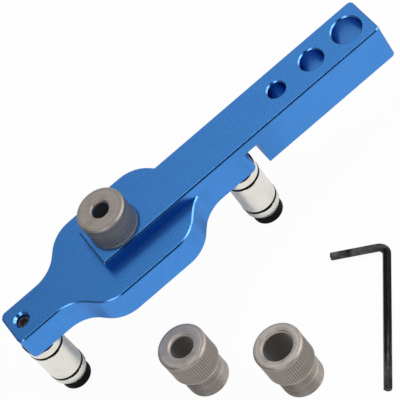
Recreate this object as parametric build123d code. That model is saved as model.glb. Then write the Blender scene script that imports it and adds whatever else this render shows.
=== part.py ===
from build123d import *

import math
import os

# Self centering doweling jig with its spare drill bushings and its hex key.
#
# A one-piece aluminium body is a swelled plate with a raised bar along it, which runs on past the
# plate into a solid end block.  A threaded drill bushing stands in the middle.  A leg with a
# free-running guide sleeve hangs under each end of the plate: turning the jig until both sleeves
# touch the faces of a board puts the bushing over the board's centre line.
#
# Millimetres.  The origin is on the drill axis at the bar's top face, +X runs along the bar to the
# end block, +Z is up.  The feet, the spare bushings and the key stand on one level floor.

# ---- body ----
BODY_THICKNESS = 15.0  # bar's top face to the underside
PLATE_DROP = 4.3  # plate's top face below the bar's
PLATE_LENGTH = 91.0
PLATE_END_WIDTH = 14.0
BELLY_WIDTH = 37.0
BELLY_LENGTH = 32.2  # between the sharp corners under the belly radii
FLARE_LENGTH = 9.0  # along X, from the belly's sharp corner to the neck's
NECK_RADIUS = 12.0
BELLY_RADIUS = 12.0
PLATE_CORNER_RADIUS = 2.25
BAR_WIDTH = 16.5
BAR_TAIL = 10.0  # bar's square end beyond the drill axis
BAR_REACH = 101.0  # drill axis to the end block's far face
SLOT_WIDTH = 4.2  # plate end to end block
BLOCK_CORNER_RADIUS = 1.5
EDGE_CHAMFER = 0.45

# ---- guide holes in the end block ----
GUIDE_DIAMETERS = (6.0, 8.0, 10.0)
GUIDE_SPACING = 14.2
GUIDE_FROM_BLOCK_END = 7.6  # the last hole's axis to the block's far face
GUIDE_CHAMFER = 0.4

# ---- drill bushings ----
FITTED_BORE = 6.0
SPARE_BORES = (8.0, 10.0)
HEAD_DIAMETER = 16.0
HEAD_HEIGHT = 11.0
HEAD_CHAMFER = 0.5
KNURL_COUNT = 60
KNURL_DEPTH = 0.22
KNURL_SETBACK = 0.03  # radial, crests under the plain rims
KNURL_START = 1.0  # plain rim above the seat
KNURL_STOP = 1.1  # plain rim below the top face
THREAD_DIAMETER = 14.0
THREAD_PITCH = 1.0
THREAD_DEPTH = 0.5
THREAD_LENGTH = 9.0
RELIEF_LENGTH = 1.5
RELIEF_DEPTH = 0.9
BORE_CHAMFER = 0.4
THREAD_CLEARANCE = 0.05  # radial, bushing in the body

# ---- legs ----
LEG_FROM_PLATE_END = 5.0  # a leg's axis to the plate's end
LEG_LENGTH = 28.0  # body's underside to the floor
LEG_DIAMETER = 12.0
SHANK_DIAMETER = 8.0
STUB_DIAMETER = 6.0  # shank's lower end, which carries the bottom collar and the foot
STUB_IN_FOOT = 2.0
STUD_DIAMETER = 4.2  # M5 at its thread root, as are its holes
STUD_LENGTH = 5.0
WASHER_THICKNESS = 1.5
TOP_COLLAR_HEIGHT = 3.0
SEAL_THICKNESS = 1.0
SEAL_STANDS_PROUD = 0.1  # radial
SEAL_ROUNDING = 0.3
SLEEVE_END_PLAY = 0.1
BOTTOM_COLLAR_HEIGHT = 4.6
BOTTOM_COLLAR_TAPER = 2.4  # length of its tapered part
BOTTOM_COLLAR_END_DIAMETER = 9.9
FOOT_DIAMETER = 10.3
FOOT_HEIGHT = 3.7
FOOT_ROUNDING = 1.0
LEG_EDGE_CHAMFER = 0.2
SLEEVE_CLEARANCE = 0.05  # radial, sleeve on the shank
SEAT_CLEARANCE = 0.02  # radial, fixed leg pieces on the post and screws in the body

# ---- set screw over the left leg ----
SCREW_LENGTH = 4.0
SCREW_RECESS = 1.5  # below the plate's top face
SCREW_SOCKET_DEPTH = 2.0
SCREW_HOLE_CHAMFER = 0.75
RIGHT_HOLE_SPARE = 1.0  # drilled depth beyond the stud

# ---- hex key ----
KEY_ACROSS_FLATS = 2.5
KEY_LONG_ARM = 50.0
KEY_SHORT_ARM = 18.5
KEY_BEND_RADIUS = 3.0
SOCKET_CLEARANCE = 0.05  # on the width across flats

# ---- where the loose pieces stand on the floor ----
SPARE_PLACES = ((-8.3, -34.9), (13.8, -58.3))
KEY_CORNER = (59.9, -42.0)
KEY_LONG_ARM_BEARING = -126.2  # degrees from +X

# ---- levels and places that follow ----
UNDERSIDE_Z = -BODY_THICKNESS
PLATE_TOP_Z = -PLATE_DROP
BLOCK_START_X = PLATE_LENGTH / 2 + SLOT_WIDTH
LEG_X = PLATE_LENGTH / 2 - LEG_FROM_PLATE_END
TOP_COLLAR_Z = UNDERSIDE_Z - WASHER_THICKNESS
UPPER_SEAL_Z = TOP_COLLAR_Z - TOP_COLLAR_HEIGHT
SLEEVE_Z = UPPER_SEAL_Z - SEAL_THICKNESS - SLEEVE_END_PLAY
FLOOR_Z = UNDERSIDE_Z - LEG_LENGTH
FOOT_Z = FLOOR_Z + FOOT_HEIGHT
BOTTOM_COLLAR_Z = FOOT_Z + BOTTOM_COLLAR_HEIGHT
LOWER_SEAL_Z = BOTTOM_COLLAR_Z + SEAL_THICKNESS
SLEEVE_LENGTH = SLEEVE_Z - LOWER_SEAL_Z - SLEEVE_END_PLAY
LEG_SIDES = {"left": -LEG_X, "right": LEG_X}
CUT_MARGIN = 1.0  # cutting tools run this far past a face


def box_between(low, high):
    """Box from its lowest corner to its highest one."""
    size = [upper - lower for lower, upper in zip(low, high)]
    centre = [(upper + lower) / 2 for lower, upper in zip(low, high)]
    return Pos(*centre) * Box(*size)


def turned(profile):
    """Solid of revolution about Z from (radius, z) points; one that repeats counts once."""
    before = profile[-1:] + profile[:-1]
    corners = [point for point, last in zip(profile, before) if point != last]
    outline = Polyline(*[(radius, 0, z) for radius, z in corners], close=True)
    return revolve(make_face(outline), Axis.Z)


def rod(diameter, low_z, high_z):
    """Plain cylinder on the Z axis between two levels."""
    radius = diameter / 2
    return turned([(0, low_z), (radius, low_z), (radius, high_z), (0, high_z)])


def chamfered_drill(diameter, low_z, high_z, low_chamfer, high_chamfer):
    """Cutting tool for a hole with a chamfer at either mouth, run past both faces."""
    radius = diameter / 2
    low_wide = radius + low_chamfer + CUT_MARGIN
    high_wide = radius + high_chamfer + CUT_MARGIN
    return turned([
        (0, low_z - CUT_MARGIN),
        (low_wide, low_z - CUT_MARGIN),
        (radius, low_z + low_chamfer),
        (radius, high_z - high_chamfer),
        (high_wide, high_z + CUT_MARGIN),
        (0, high_z + CUT_MARGIN),
    ])


def ring(outer_diameter, inner_diameter, low_z, high_z, chamfer_size):
    """Turned ring with its outer edges chamfered."""
    outer = outer_diameter / 2
    inner = inner_diameter / 2
    return turned([
        (inner, low_z),
        (outer - chamfer_size, low_z),
        (outer, low_z + chamfer_size),
        (outer, high_z - chamfer_size),
        (outer - chamfer_size, high_z),
        (inner, high_z),
    ])


def hexagon(across_flats):
    """Hexagon with a flat at the bottom."""
    return RegularPolygon(across_flats / 2, 6, major_radius=False)


# ---- body ----
def plate_outline():
    """Plan of the plate: a belly that flares down to two narrow ends, the same both ways."""
    end_x = PLATE_LENGTH / 2
    belly_x = BELLY_LENGTH / 2
    neck_x = belly_x + FLARE_LENGTH
    end_y = PLATE_END_WIDTH / 2
    belly_y = BELLY_WIDTH / 2
    quarter = [(end_x, end_y), (neck_x, end_y), (belly_x, belly_y)]
    right_to_left = quarter + [(-x, y) for x, y in reversed(quarter)]
    corners = right_to_left + [(x, -y) for x, y in reversed(right_to_left)]
    face = make_face(Polyline(*corners, close=True))
    for corner_x, radius in (
        (end_x, PLATE_CORNER_RADIUS),
        (neck_x, NECK_RADIUS),
        (belly_x, BELLY_RADIUS),
    ):
        sharp = [v for v in face.vertices() if math.isclose(abs(v.X), corner_x, abs_tol=1e-6)]
        face = fillet(sharp, radius)
    return face


def level_edges(solid, z):
    """Edges of a solid that lie at one level."""
    return [
        edge for edge in solid.edges()
        if math.isclose(edge.bounding_box().min.Z, z, abs_tol=1e-6)
        and math.isclose(edge.bounding_box().max.Z, z, abs_tol=1e-6)
    ]


def upright_edges(solid, x):
    """Straight vertical edges of a solid at one X."""
    return [
        edge for edge in solid.edges().filter_by(Axis.Z)
        if math.isclose(edge.center().X, x, abs_tol=1e-6)
    ]


def plate():
    """Swelled plate, its top and bottom edges chamfered except where the bar stands on it."""
    sharp = extrude(Pos(0, 0, UNDERSIDE_Z) * plate_outline(), BODY_THICKNESS - PLATE_DROP)
    edges = level_edges(sharp, PLATE_TOP_Z) + level_edges(sharp, UNDERSIDE_Z)
    broken = chamfer(edges, EDGE_CHAMFER)
    under_bar = box_between(
        (-BAR_TAIL, -BAR_WIDTH / 2, UNDERSIDE_Z + EDGE_CHAMFER),
        (PLATE_LENGTH / 2, BAR_WIDTH / 2, PLATE_TOP_Z),
    )
    return broken + (sharp & under_bar)


def bar():
    """Raised bar and the end block it runs into, with a slot under the bar at the plate's end."""
    sharp = box_between(
        (-BAR_TAIL, -BAR_WIDTH / 2, PLATE_TOP_Z),
        (BAR_REACH, BAR_WIDTH / 2, 0),
    ) + box_between(
        (BLOCK_START_X, -BAR_WIDTH / 2, UNDERSIDE_Z),
        (BAR_REACH, BAR_WIDTH / 2, PLATE_TOP_Z),
    )
    rounded = fillet(upright_edges(sharp, BAR_REACH), BLOCK_CORNER_RADIUS)
    edges = level_edges(rounded, 0) + level_edges(rounded, UNDERSIDE_Z)
    return chamfer(edges, EDGE_CHAMFER)


def jig_body():
    """Plate and bar in one piece, drilled for the bushing, the guides and the leg screws."""
    body = plate() + bar()
    body -= chamfered_drill(
        THREAD_DIAMETER + 2 * THREAD_CLEARANCE, UNDERSIDE_Z, 0, GUIDE_CHAMFER, GUIDE_CHAMFER
    )
    last_guide_x = BAR_REACH - GUIDE_FROM_BLOCK_END
    for index, diameter in enumerate(reversed(GUIDE_DIAMETERS)):
        drill = chamfered_drill(diameter, UNDERSIDE_Z, 0, GUIDE_CHAMFER, GUIDE_CHAMFER)
        body -= Pos(last_guide_x - index * GUIDE_SPACING, 0, 0) * drill
    stud_hole = STUD_DIAMETER + 2 * SEAT_CLEARANCE
    through = chamfered_drill(stud_hole, UNDERSIDE_Z, PLATE_TOP_Z, 0, SCREW_HOLE_CHAMFER)
    blind = rod(stud_hole, UNDERSIDE_Z - CUT_MARGIN, UNDERSIDE_Z + STUD_LENGTH + RIGHT_HOLE_SPARE)
    body -= Pos(LEG_SIDES["left"], 0, 0) * through
    body -= Pos(LEG_SIDES["right"], 0, 0) * blind
    return body


# ---- drill bushings ----
def knurled_band():
    """Straight knurl: a many-sided prism whose corners alternate crest and root."""
    crest = HEAD_DIAMETER / 2 - KNURL_SETBACK
    points = []
    for index in range(2 * KNURL_COUNT):
        angle = math.pi * index / KNURL_COUNT
        radius = crest if index % 2 == 0 else crest - KNURL_DEPTH
        points.append((radius * math.cos(angle), radius * math.sin(angle)))
    face = make_face(Polyline(*points, close=True))
    return extrude(Pos(0, 0, KNURL_START) * face, HEAD_HEIGHT - KNURL_START - KNURL_STOP)


def thread_profile():
    """(radius, z) points down the threaded shank: relief groove, then one V a pitch."""
    crest = THREAD_DIAMETER / 2
    root = crest - THREAD_DEPTH
    points = [(crest - RELIEF_DEPTH, 0), (crest - RELIEF_DEPTH, -RELIEF_LENGTH)]
    turns = int((THREAD_LENGTH - THREAD_DEPTH) / THREAD_PITCH)
    for turn in range(turns):
        top = -RELIEF_LENGTH - turn * THREAD_PITCH
        points.append((crest, top - THREAD_PITCH / 2))
        points.append((root, top - THREAD_PITCH))
    end = -RELIEF_LENGTH - THREAD_LENGTH
    return points + [(root - THREAD_DEPTH / 2, end)]


def bushing(bore):
    """Drill bushing with its seat at z = 0: knurled head above, thread below, bored through."""
    rim = HEAD_DIAMETER / 2
    lower_rim = turned([
        (0, 0),
        (rim - HEAD_CHAMFER, 0),
        (rim, HEAD_CHAMFER),
        (rim, KNURL_START),
        (0, KNURL_START),
    ])
    upper_rim = turned([
        (0, HEAD_HEIGHT - KNURL_STOP),
        (rim, HEAD_HEIGHT - KNURL_STOP),
        (rim, HEAD_HEIGHT - HEAD_CHAMFER),
        (rim - HEAD_CHAMFER, HEAD_HEIGHT),
        (0, HEAD_HEIGHT),
    ])
    end = -RELIEF_LENGTH - THREAD_LENGTH
    shank = turned([(0, 0)] + thread_profile() + [(0, end)])
    blank = lower_rim + knurled_band() + upper_rim + shank
    return blank - chamfered_drill(bore, end, HEAD_HEIGHT, BORE_CHAMFER, BORE_CHAMFER)


# ---- legs ----
def leg_post():
    """Steel post: threaded stud in the body, shank for the sleeve, stub for collar and foot."""
    stud = STUD_DIAMETER / 2
    shank = SHANK_DIAMETER / 2
    stub = STUB_DIAMETER / 2
    stub_end = FOOT_Z - STUB_IN_FOOT
    return turned([
        (0, stub_end),
        (stub - LEG_EDGE_CHAMFER, stub_end),
        (stub, stub_end + LEG_EDGE_CHAMFER),
        (stub, BOTTOM_COLLAR_Z),
        (shank, BOTTOM_COLLAR_Z),
        (shank, UNDERSIDE_Z),
        (stud, UNDERSIDE_Z),
        (stud, UNDERSIDE_Z + STUD_LENGTH - LEG_EDGE_CHAMFER),
        (stud - LEG_EDGE_CHAMFER, UNDERSIDE_Z + STUD_LENGTH),
        (0, UNDERSIDE_Z + STUD_LENGTH),
    ])


def leg_ring(high_z, height, bore_clearance, edge):
    """Ring of the leg's full diameter on the shank."""
    bore = SHANK_DIAMETER + 2 * bore_clearance
    return ring(LEG_DIAMETER, bore, high_z - height, high_z, edge)


def seal(high_z):
    """Rubber ring, a little proud of the sleeve, its outer edges rounded."""
    outer = LEG_DIAMETER + 2 * SEAL_STANDS_PROUD
    bore = SHANK_DIAMETER + 2 * SEAT_CLEARANCE
    blank = ring(outer, bore, high_z - SEAL_THICKNESS, high_z, 0.0)
    rims = [e for e in blank.edges().filter_by(GeomType.CIRCLE) if e.radius > outer / 2 - SEAT_CLEARANCE]
    return fillet(rims, SEAL_ROUNDING)


def bottom_collar():
    """Plain collar that tapers down to the foot."""
    outer = LEG_DIAMETER / 2
    bore = STUB_DIAMETER / 2 + SEAT_CLEARANCE
    return turned([
        (bore, FOOT_Z),
        (BOTTOM_COLLAR_END_DIAMETER / 2, FOOT_Z),
        (outer, FOOT_Z + BOTTOM_COLLAR_TAPER),
        (outer, BOTTOM_COLLAR_Z - LEG_EDGE_CHAMFER),
        (outer - LEG_EDGE_CHAMFER, BOTTOM_COLLAR_Z),
        (bore, BOTTOM_COLLAR_Z),
    ])


def foot():
    """Rubber cap on the post's stub, rounded where it meets the floor."""
    blank = rod(FOOT_DIAMETER, FLOOR_Z, FOOT_Z)
    rounded = fillet(level_edges(blank, FLOOR_Z), FOOT_ROUNDING)
    bore = STUB_DIAMETER + 2 * SEAT_CLEARANCE
    return rounded - rod(bore, FOOT_Z - STUB_IN_FOOT - SEAT_CLEARANCE, FOOT_Z + CUT_MARGIN)


def leg_pieces(side):
    """All the pieces of one leg on the Z axis, by node name."""
    return {
        f"{side}_leg_post": leg_post(),
        f"{side}_leg_washer": leg_ring(UNDERSIDE_Z, WASHER_THICKNESS, SEAT_CLEARANCE, 0.0),
        f"{side}_leg_top_collar": leg_ring(
            TOP_COLLAR_Z, TOP_COLLAR_HEIGHT, SEAT_CLEARANCE, LEG_EDGE_CHAMFER
        ),
        f"{side}_leg_upper_seal": seal(UPPER_SEAL_Z),
        f"{side}_guide_sleeve": leg_ring(
            SLEEVE_Z, SLEEVE_LENGTH, SLEEVE_CLEARANCE, LEG_EDGE_CHAMFER
        ),
        f"{side}_leg_lower_seal": seal(LOWER_SEAL_Z),
        f"{side}_leg_bottom_collar": bottom_collar(),
        f"{side}_leg_foot": foot(),
    }


def set_screw():
    """Short screw that locks the left stud from above, with a hex socket."""
    top = PLATE_TOP_Z - SCREW_RECESS
    bottom = top - SCREW_LENGTH
    blank = ring(STUD_DIAMETER, 0.0, bottom, top, LEG_EDGE_CHAMFER)
    socket = hexagon(KEY_ACROSS_FLATS + SOCKET_CLEARANCE)
    depth = SCREW_SOCKET_DEPTH + CUT_MARGIN
    return blank - extrude(Pos(0, 0, top - SCREW_SOCKET_DEPTH) * socket, depth)


# ---- hex key ----
def hex_key():
    """Bent hexagonal bar lying flat: the corner of its axis at the origin, long arm along +X."""
    axis_z = KEY_ACROSS_FLATS / 2
    path = FilletPolyline(
        (KEY_LONG_ARM, 0, axis_z), (0, 0, axis_z), (0, -KEY_SHORT_ARM, axis_z),
        radius=KEY_BEND_RADIUS,
    )
    start = Plane(origin=path @ 0, x_dir=(0, 1, 0), z_dir=path % 0)
    return sweep(start * hexagon(KEY_ACROSS_FLATS), path=path)


# ---- the set, in place ----
def all_pieces():
    """Every node of the set in its place, by name."""
    pieces = {
        "jig_body": jig_body(),
        "drill_bushing_6mm": bushing(FITTED_BORE),
        "left_set_screw": Pos(LEG_SIDES["left"], 0, 0) * set_screw(),
    }
    for side, leg_x in LEG_SIDES.items():
        for name, piece in leg_pieces(side).items():
            pieces[name] = Pos(leg_x, 0, 0) * piece
    seat_height = RELIEF_LENGTH + THREAD_LENGTH
    for bore, (x, y) in zip(SPARE_BORES, SPARE_PLACES):
        pieces[f"spare_bushing_{bore:g}mm"] = Pos(x, y, FLOOR_Z + seat_height) * bushing(bore)
    key_place = Pos(*KEY_CORNER, FLOOR_Z) * Rot(0, 0, KEY_LONG_ARM_BEARING)
    pieces["hex_key"] = key_place * hex_key()
    return pieces


os.makedirs("parts", exist_ok=True)
for node, solid in all_pieces().items():
    export_step(solid, f"parts/{node}.step")
    print(f"{node}: {solid.volume:.1f} mm3")
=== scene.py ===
"""Looks of a self centering doweling jig: blue anodised body, drill bushings, rolling legs, hex key.

Every piece is a surface worked out with numpy as rows of points: a profile carried round an axis,
an outline stacked up its height, or a section carried along a bent path.  The body alone is
stacked outlines joined and drilled.  Sizes are millimetres, and places come from the frame.
"""
import logging
import math
from dataclasses import dataclass
from enum import Enum
from typing import Any

import bpy
import numpy as np
from mathutils import Matrix, Vector


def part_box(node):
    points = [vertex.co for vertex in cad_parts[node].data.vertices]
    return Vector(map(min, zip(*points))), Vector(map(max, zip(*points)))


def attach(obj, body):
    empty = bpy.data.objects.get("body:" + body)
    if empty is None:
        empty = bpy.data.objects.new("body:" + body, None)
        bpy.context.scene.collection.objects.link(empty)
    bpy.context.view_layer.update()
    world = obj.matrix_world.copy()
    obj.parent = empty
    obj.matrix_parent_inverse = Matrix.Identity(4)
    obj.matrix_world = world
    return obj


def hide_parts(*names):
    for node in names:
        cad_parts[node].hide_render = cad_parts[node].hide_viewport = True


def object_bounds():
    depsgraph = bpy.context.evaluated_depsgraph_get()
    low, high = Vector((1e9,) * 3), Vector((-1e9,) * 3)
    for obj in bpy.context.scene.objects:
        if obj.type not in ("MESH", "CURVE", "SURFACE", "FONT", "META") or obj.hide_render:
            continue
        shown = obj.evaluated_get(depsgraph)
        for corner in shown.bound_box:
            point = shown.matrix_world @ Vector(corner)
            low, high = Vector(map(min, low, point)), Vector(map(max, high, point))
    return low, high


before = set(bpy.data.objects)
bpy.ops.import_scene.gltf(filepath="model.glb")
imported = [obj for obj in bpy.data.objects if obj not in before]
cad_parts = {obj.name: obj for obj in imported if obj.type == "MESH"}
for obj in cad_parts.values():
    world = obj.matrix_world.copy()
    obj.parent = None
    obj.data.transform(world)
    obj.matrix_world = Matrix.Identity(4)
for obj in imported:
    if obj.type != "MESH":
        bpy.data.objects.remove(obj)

CAD_BOX = [list(corner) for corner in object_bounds()]
MM = 0.001
FULL_TURN = 2.0 * math.pi
SIXTH_TURN = math.pi / 3
WHITE = (1.0, 1.0, 1.0, 1.0)
Pair = tuple[float, float]
Triple = tuple[float, float, float]
Colour = tuple[float, float, float, float]
Band = tuple[np.ndarray, np.ndarray]
Piece = bpy.types.Object
log = logging.getLogger("doweling_jig")


class Slot(Enum):
    """Material slots of the record."""

    ANODISED_BLUE = "anodised_blue"
    BUSHING_STEEL = "bushing_steel"
    LEG_STEEL = "leg_steel"
    BLACK_RUBBER = "black_rubber"
    BLACKENED_STEEL = "blackened_steel"


class Side(Enum):
    """The two ends of the plate, each with a leg."""

    LEFT = "left"
    RIGHT = "right"


class Cap(Enum):
    """How a stack of rows is closed at its two ends."""

    JOINED = "the last row joins the first"
    FLAT = "one flat face each"
    POINT = "a fan of triangles to the middle"


# ---------------- places from the frame


def box_of(node: str) -> np.ndarray:
    """(2, 3) lowest and highest corner of a CAD node in mm."""
    return np.array(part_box(node)) / MM


def axis_of(node: str) -> np.ndarray:
    """Where a turned CAD node's upright axis stands, in mm."""
    return box_of(node)[:, :2].mean(axis=0)


def levels_of(node: str) -> Triple:
    """Bottom, top and outer radius of a turned CAD node in mm."""
    low, high = box_of(node)
    return low[2], high[2], round(float(high[0] - low[0]) / 2, 2)


# ---------------- outlines and rows of points


@dataclass(frozen=True)
class Outline:
    """A plane line as points with their outward normals, both (n, 2) arrays in mm."""

    points: np.ndarray
    normals: np.ndarray


def unit(vectors: np.ndarray) -> np.ndarray:
    """Vectors of an array's last axis scaled to length 1."""
    return vectors / np.linalg.norm(vectors, axis=-1, keepdims=True)


def rounded_outline(corners: Any, radii: Any, steps: int = 8, closed: bool = True) -> Outline:
    """Polygon or open line with an arc at each corner.

    With u and v the unit directions from a corner to its neighbours and a the half angle between
    them, the arc of radius r starts r / tan(a) along u, ends as far along v, and its centre lies
    r / sin(a) along the bisector.  A corner of radius 0 stays one point.

    Args:
        corners: (n, 2) corner points, anticlockwise for outward normals.
        radii: one radius for all corners or one for each.
        steps: pieces that each arc is cut into.
        closed: whether the last corner joins the first.

    Returns:
        The outline with its outward normals.
    """
    corner = np.asarray(corners, float)
    radius = np.broadcast_to(np.asarray(radii, float), len(corner)).copy()
    back = np.roll(corner, 1, axis=0) - corner
    ahead = np.roll(corner, -1, axis=0) - corner
    if not closed:
        back[0], ahead[-1] = -ahead[0], -back[-1]
        radius[[0, -1]] = 0.0
    u, v = unit(back), unit(ahead)
    half = np.arccos(np.clip((u * v).sum(axis=1), -1.0, 1.0)) / 2
    turn = np.sign(v[:, 0] * u[:, 1] - v[:, 1] * u[:, 0])
    edge_normal = unit(np.stack([v[:, 1] - u[:, 1], u[:, 0] - v[:, 0]], axis=1))
    centre = corner - edge_normal * (turn * radius / np.sin(half))[:, None]
    first = corner + u * (radius / np.tan(half))[:, None] - centre
    start = np.arctan2(first[:, 1], first[:, 0])
    share = np.linspace(0.0, 1.0, steps + 1)
    angle = start[:, None] + (turn * (math.pi - 2 * half))[:, None] * share
    spoke = np.stack([np.cos(angle), np.sin(angle)], axis=2)
    points = centre[:, None, :] + spoke * radius[:, None, None]
    normals = spoke * turn[:, None, None]
    sharp = radius == 0.0
    normals[sharp] = edge_normal[sharp][:, None, :]
    keep = ~sharp[:, None] | (share == 0.0)
    return Outline(points[keep], normals[keep])


def rectangle(start: float, end: float, half_width: float) -> list[Pair]:
    """Corners of a rectangle along X, centred on Y."""
    return [(start, -half_width), (end, -half_width), (end, half_width), (start, half_width)]


def carried_round(profile: np.ndarray, columns: int, axis_xy: Any) -> np.ndarray:
    """Rows of points of a turned piece.

    A profile point (r, z) carried to angle t lies at (r cos t, r sin t, z) from the axis.

    Args:
        profile: (rows, 2) radii and heights, or (rows, columns, 2) where they change around.
        columns: points around.
        axis_xy: where the upright axis stands.

    Returns:
        (rows, columns, 3) points.
    """
    shape = profile if profile.ndim == 3 else np.repeat(profile[:, None, :], columns, axis=1)
    angle = np.arange(columns) * FULL_TURN / columns
    x = axis_xy[0] + shape[..., 0] * np.cos(angle)
    y = axis_xy[1] + shape[..., 0] * np.sin(angle)
    return np.stack([x, y, shape[..., 1]], axis=-1)


def both_ends(line: np.ndarray, bottom: float, top: float) -> np.ndarray:
    """(rows, 2) rows of a line at a top face and mirrored at a bottom one, from the bottom up.

    The line's second numbers are heights over its face.
    """
    lower = np.column_stack([line[::-1, 0], bottom - line[::-1, 1]])
    return np.vstack([lower, np.column_stack([line[:, 0], top + line[:, 1]])])


def stacked(outline: Outline, levels: np.ndarray, top_share: Any = 1.0) -> np.ndarray:
    """Rows of points of an upright block: its plan at each level, drawn in by the level's amount.

    Args:
        outline: plan of the block.
        levels: (rows, 2) amounts drawn in and heights, from the bottom to the top.
        top_share: share of the amount that each outline point gets in the upper half.

    Returns:
        (rows, columns, 3) points, from the bottom to the top.
    """
    amount = np.repeat(levels[:, :1], len(outline.points), axis=1)
    amount[len(levels) // 2:] *= top_share
    plan = outline.points[None] - outline.normals[None] * amount[..., None]
    height = np.broadcast_to(levels[:, 1, None, None], (*amount.shape, 1))
    return np.concatenate([plan, height], axis=2)


# ---------------- pieces


def placed(name: str, data: Any) -> Piece:
    """New object of the scene, at the origin."""
    thing = bpy.data.objects.new(name, data)
    bpy.context.scene.collection.objects.link(thing)
    return thing


def surface(name: str, rows: np.ndarray, cap: Cap) -> Piece:
    """Closed mesh over rows of points, its faces turned outwards.

    Their direction comes from the sign of its volume: a sum over triangles of the first corner's
    dot product with the cross product of the other two.

    Args:
        name: the object's name.
        rows: (rows, columns, 3) points in mm; each row closes on itself.
        cap: how the first and last rows are closed.

    Returns:
        The new object, at the origin, in metres.
    """
    count, columns = rows.shape[:2]
    points = rows.reshape(-1, 3)
    index = np.arange(count * columns).reshape(count, columns)
    here = index if cap is Cap.JOINED else index[:-1]
    there = np.roll(index, -1, axis=0) if cap is Cap.JOINED else index[1:]
    quads = np.stack([here, np.roll(here, -1, 1), np.roll(there, -1, 1), there], -1).reshape(-1, 4)
    faces = [quads]
    if cap is Cap.FLAT:
        faces += [index[:1, ::-1], index[-1:]]
    if cap is Cap.POINT:
        points = np.vstack([points, rows[0].mean(axis=0), rows[-1].mean(axis=0)])
        for ring, pole in ((index[0][::-1], len(points) - 2), (index[-1], len(points) - 1)):
            faces.append(np.stack([ring, np.roll(ring, -1), np.full(columns, pole)], axis=1))
    wall = points[quads]
    triangles = [wall[:, [0, 1, 2]], wall[:, [0, 2, 3]]]
    if cap is not Cap.JOINED:
        for ring in (rows[0, ::-1], rows[-1]):
            middle = np.broadcast_to(ring.mean(axis=0), ring.shape)
            triangles.append(np.stack([ring, np.roll(ring, -1, axis=0), middle], axis=1))
    first, second, third = np.moveaxis(np.concatenate(triangles), 1, 0)
    way = 1 if np.einsum("ij,ij->", first, np.cross(second, third)) > 0 else -1
    mesh = bpy.data.meshes.new(name)
    mesh.from_pydata((points * MM).tolist(), [], [f for part in faces for f in part[:, ::way].tolist()])
    mesh.validate()
    return placed(name, mesh)


def combine(piece: Piece, tool: Piece, operation: str) -> None:
    """Joins a closed mesh to a piece or cuts it away, and removes the tool.

    Args:
        piece: the object whose mesh is changed.
        tool: the closed object used on it.
        operation: UNION or DIFFERENCE.
    """
    modifier = piece.modifiers.new("machining", "BOOLEAN")
    modifier.object = tool
    modifier.operation = operation
    modifier.solver = "MANIFOLD"
    graph = bpy.context.evaluated_depsgraph_get()
    machined = bpy.data.meshes.new_from_object(piece.evaluated_get(graph))
    piece.modifiers.clear()
    piece.data = machined
    bpy.data.objects.remove(tool)


def dress(piece: Piece, finish: "Finish", body: str, node: str, sharp_degrees: float = 35.0) -> Piece:
    """Shades a piece smoothly, paints it, and hands it to the body that it moves with.

    Args:
        piece: the object to finish.
        finish: the surface finish that it gets.
        body: the body of the frame that carries it.
        node: the CAD node that it stands for.
        sharp_degrees: edges turning more than this stay crisp.

    Returns:
        The same object.
    """
    mesh = piece.data
    mesh.shade_smooth()
    mesh.set_sharp_from_angle(angle=math.radians(sharp_degrees))
    even = piece.modifiers.new("even_shading", "WEIGHTED_NORMAL")
    even.keep_sharp = True
    mesh.materials.clear()
    mesh.materials.append(finish.material())
    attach(piece, body)
    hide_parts(node)
    log.info("%s: %d faces, rides %s", piece.name, len(mesh.polygons), body)
    return piece


def points_of(piece: Piece) -> np.ndarray:
    """(n, 3) points of a piece in mm."""
    place = np.empty(len(piece.data.vertices) * 3, np.float32)
    piece.data.vertices.foreach_get("co", place)
    return place.reshape(-1, 3) / MM


def mark(piece: Piece, name: str, values: np.ndarray) -> None:
    """Stores one number on each point of a piece, for its finish to read."""
    attribute = piece.data.attributes.new(name, "FLOAT", "POINT")
    attribute.data.foreach_set("value", np.ravel(values).astype(np.float32))


def mark_turning(piece: Piece, axis_xy: Any) -> None:
    """Stores each point's radius about an axis plus its height in mm, which tool marks follow."""
    x, y, z = points_of(piece).T
    mark(piece, "turning", np.hypot(x - axis_xy[0], y - axis_xy[1]) + z)


# ---------------- finishes


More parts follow.
